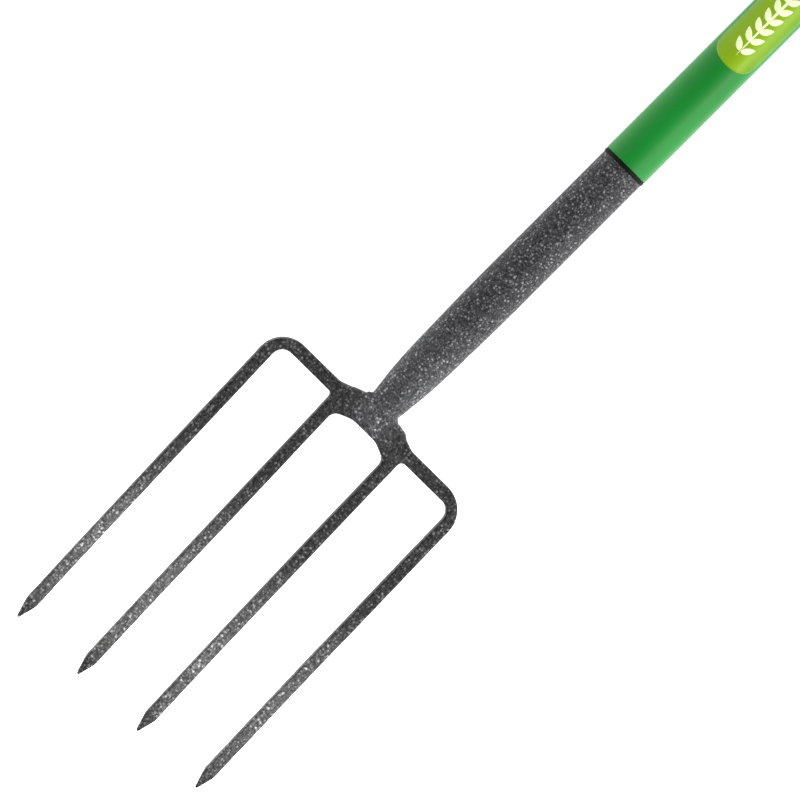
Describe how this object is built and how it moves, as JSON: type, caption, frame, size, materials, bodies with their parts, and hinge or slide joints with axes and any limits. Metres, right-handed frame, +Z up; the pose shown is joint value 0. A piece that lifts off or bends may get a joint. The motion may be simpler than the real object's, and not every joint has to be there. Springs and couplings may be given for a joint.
{
  "type": "garden fork",
  "caption": "Straight-tined garden fork for digging and lawn spiking, with a swaged steel tube shaft in a plastic sleeve and a moulded D-grip.",
  "frame": {"origin": "on the floor below the middle of the fork's length, as it lies on its back", "axes": "+Y runs along the shaft from the tines to the grip, +X across the head, +Z up out of the concave front face"},
  "size_m": [0.1896, 1, 0.0729],
  "materials": {
    "head_paint": "grey hammertone enamel",
    "tube_paint": "grey hammertone enamel",
    "ring_rubber": "black sealing ring",
    "sleeve_plastic": "satin green PVC",
    "label_film": "glossy lime film",
    "handle_plastic": "fine-textured green polypropylene",
    "grip_rubber": "ribbed black soft moulding",
    "rivet_steel": "plated steel"
  },
  "bodies": {
    "root": {"fork_head": "head_paint", "head_weld": "head_paint", "shaft_tube": "tube_paint", "sleeve_end_ring": "ring_rubber", "shaft_sleeve": "sleeve_plastic", "shaft_label": "label_film", "handle_body": "handle_plastic", "grip_cover": "grip_rubber", "handle_rivet": "rivet_steel", "rivet_washer": "rivet_steel"}
  },
  "joints": []
}
